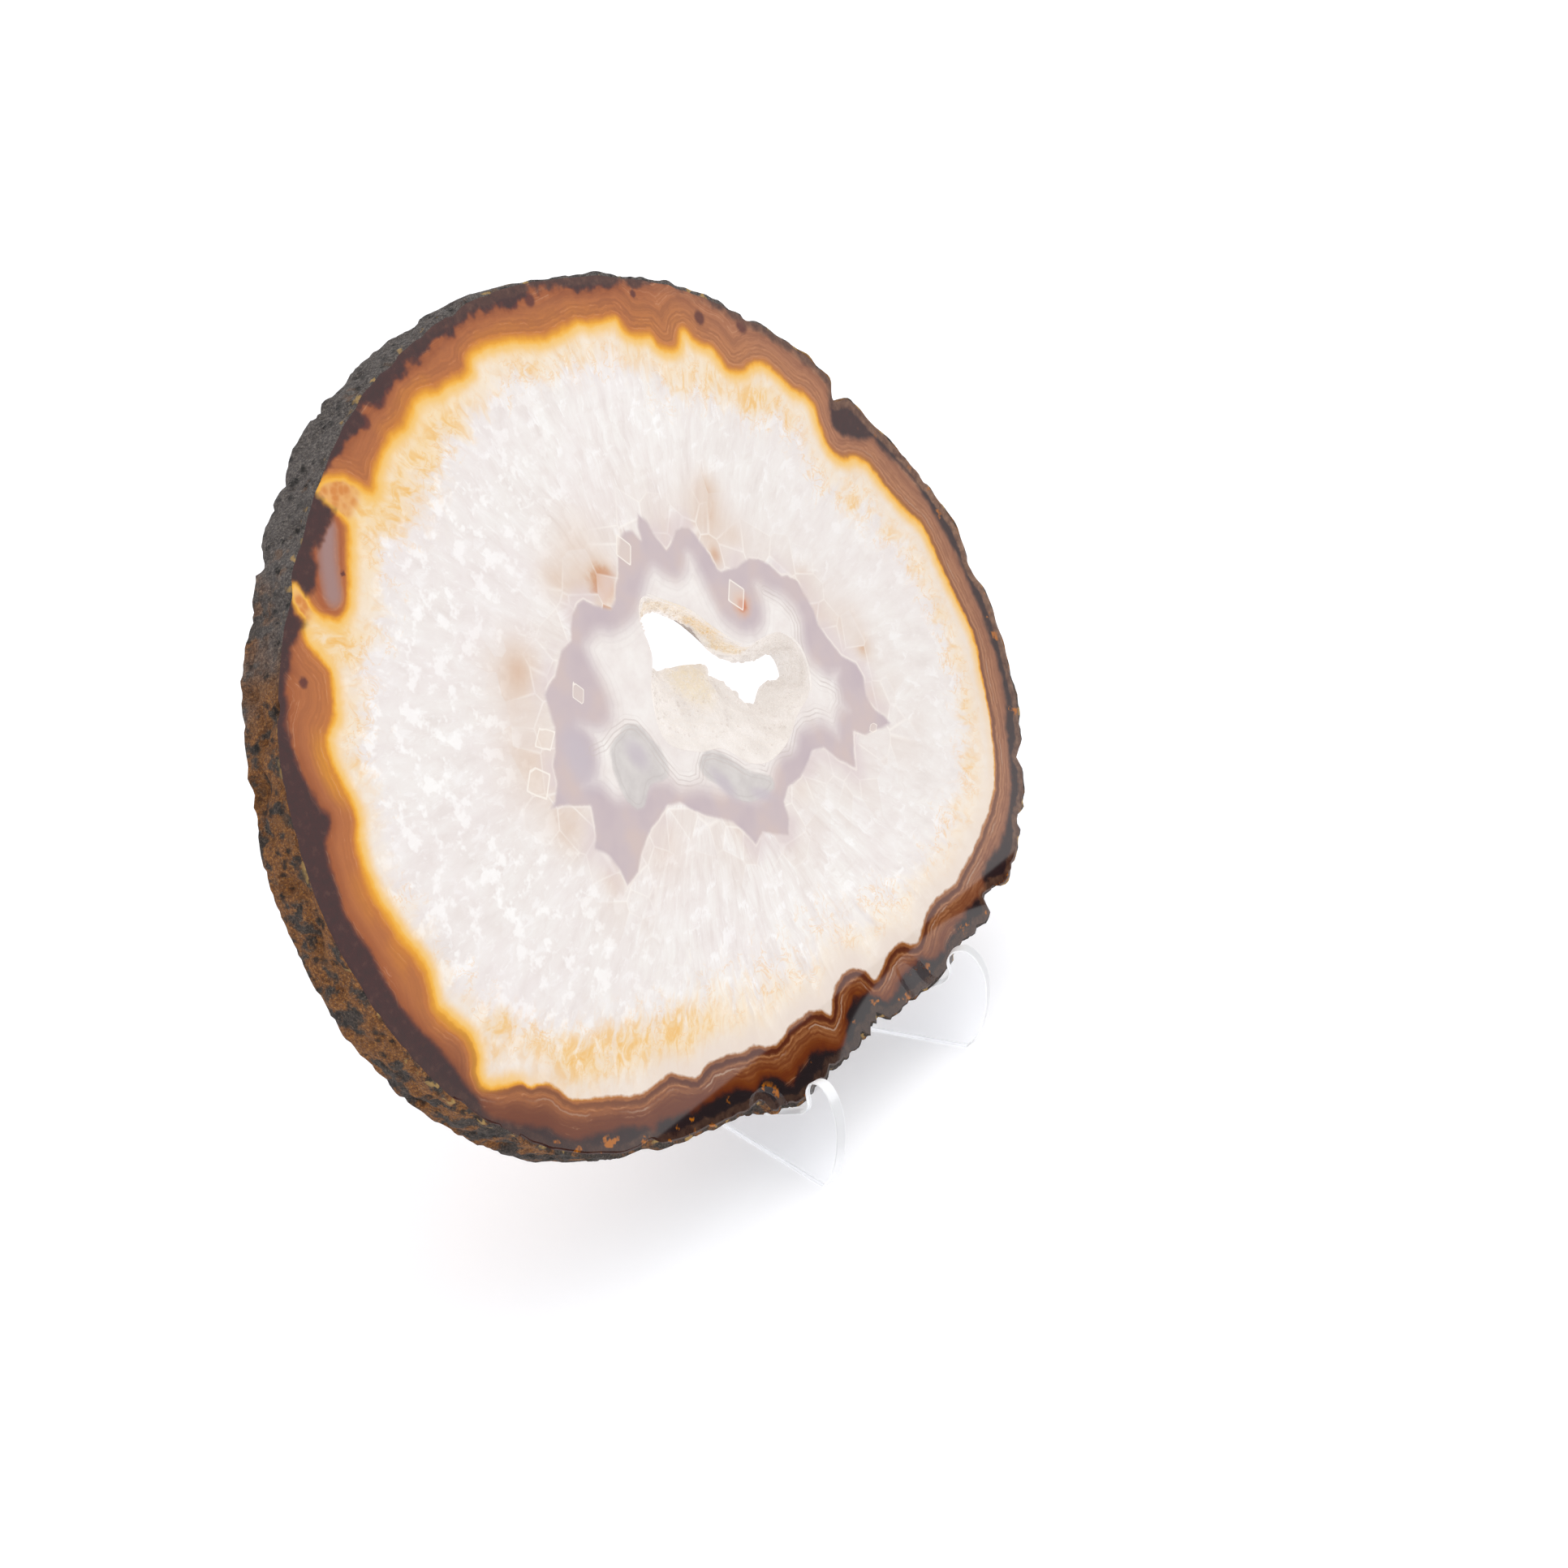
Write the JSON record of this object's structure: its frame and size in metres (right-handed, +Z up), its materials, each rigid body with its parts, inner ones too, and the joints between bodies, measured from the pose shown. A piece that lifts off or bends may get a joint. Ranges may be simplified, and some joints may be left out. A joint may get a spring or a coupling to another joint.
{
  "type": "agate slice on display stand",
  "caption": "Polished slice of banded agate with a crystal-lined hollow and rough natural rim, leaning back on a clear bent-sheet easel stand.",
  "frame": {"origin": "on the table, under the middle of the whole object's box", "axes": "+Z up, +X along the slice's long width, the polished face looks towards -Y and leans back 27.6 degrees"},
  "size_m": [0.1854, 0.0853, 0.1437],
  "materials": {
    "agate": "polished face, rough rim",
    "quartz": "sugary small crystals",
    "acrylic": "clear, polished edges"
  },
  "bodies": {
    "root": {"agate_slice": "agate", "quartz_crust": "quartz", "display_stand": "acrylic"}
  },
  "joints": []
}
